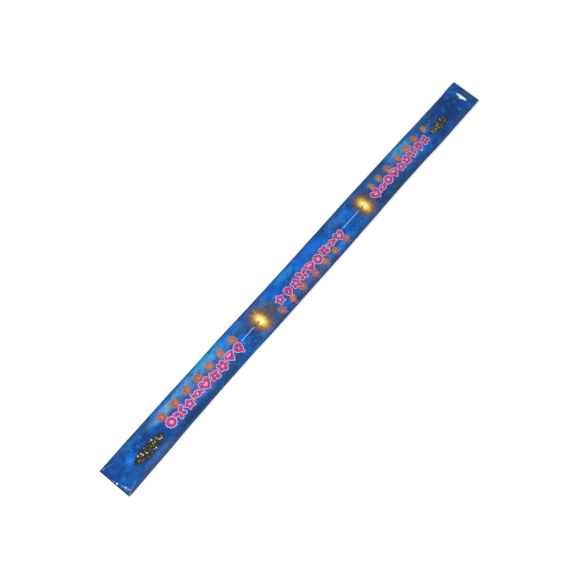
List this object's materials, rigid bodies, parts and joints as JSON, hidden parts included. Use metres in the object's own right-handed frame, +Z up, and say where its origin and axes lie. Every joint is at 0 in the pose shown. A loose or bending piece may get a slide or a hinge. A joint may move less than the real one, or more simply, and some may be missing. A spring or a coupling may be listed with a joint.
{
  "type": "sparkler pack",
  "caption": "Long slim film pouch of giant sparklers with flat side seams, a header with a hang hole and a tear-off end; dipped wires inside slide endways.",
  "frame": {"origin": "under the middle of the pouch, on the surface that it lies on", "axes": "+X along the pouch towards the hanging header, +Y across it towards the print's upper edge, +Z up out of the printed front"},
  "size_m": [0.774, 0.048, 0.0072],
  "materials": {
    "printed_film": "gloss printed film",
    "back_film": "gloss printed film",
    "card": "uncoated grey board",
    "wire": "drawn wire",
    "composition": "matt dipped composition"
  },
  "bodies": {
    "pouch": {"front_film": "printed_film", "back_film": "back_film", "backing_card": "card"},
    "tear_end": {"tear_end_front": "printed_film", "tear_end_back": "back_film"},
    "sparkler_1": {"sparkler_wire_1": "wire", "sparkler_coating_1": "composition"},
    "sparkler_2": {"sparkler_wire_2": "wire", "sparkler_coating_2": "composition"},
    "sparkler_3": {"sparkler_wire_3": "wire", "sparkler_coating_3": "composition"},
    "sparkler_4": {"sparkler_wire_4": "wire", "sparkler_coating_4": "composition"},
    "sparkler_5": {"sparkler_wire_5": "wire", "sparkler_coating_5": "composition"}
  },
  "joints": [
    {"name": "tear_off", "type": "slide", "parent": "pouch", "child": "tear_end", "axis": [-1, 0, 0], "range_m": [0, 0.1]},
    {"name": "sparkler_1_play", "type": "slide", "parent": "pouch", "child": "sparkler_1", "axis": [1, 0, 0], "range_m": [-0.016, 0.011]},
    {"name": "sparkler_2_play", "type": "slide", "parent": "pouch", "child": "sparkler_2", "axis": [1, 0, 0], "range_m": [-0.016, 0.011]},
    {"name": "sparkler_3_play", "type": "slide", "parent": "pouch", "child": "sparkler_3", "axis": [1, 0, 0], "range_m": [-0.016, 0.011]},
    {"name": "sparkler_4_play", "type": "slide", "parent": "pouch", "child": "sparkler_4", "axis": [1, 0, 0], "range_m": [-0.016, 0.011]},
    {"name": "sparkler_5_play", "type": "slide", "parent": "pouch", "child": "sparkler_5", "axis": [1, 0, 0], "range_m": [-0.016, 0.011]}
  ]
}
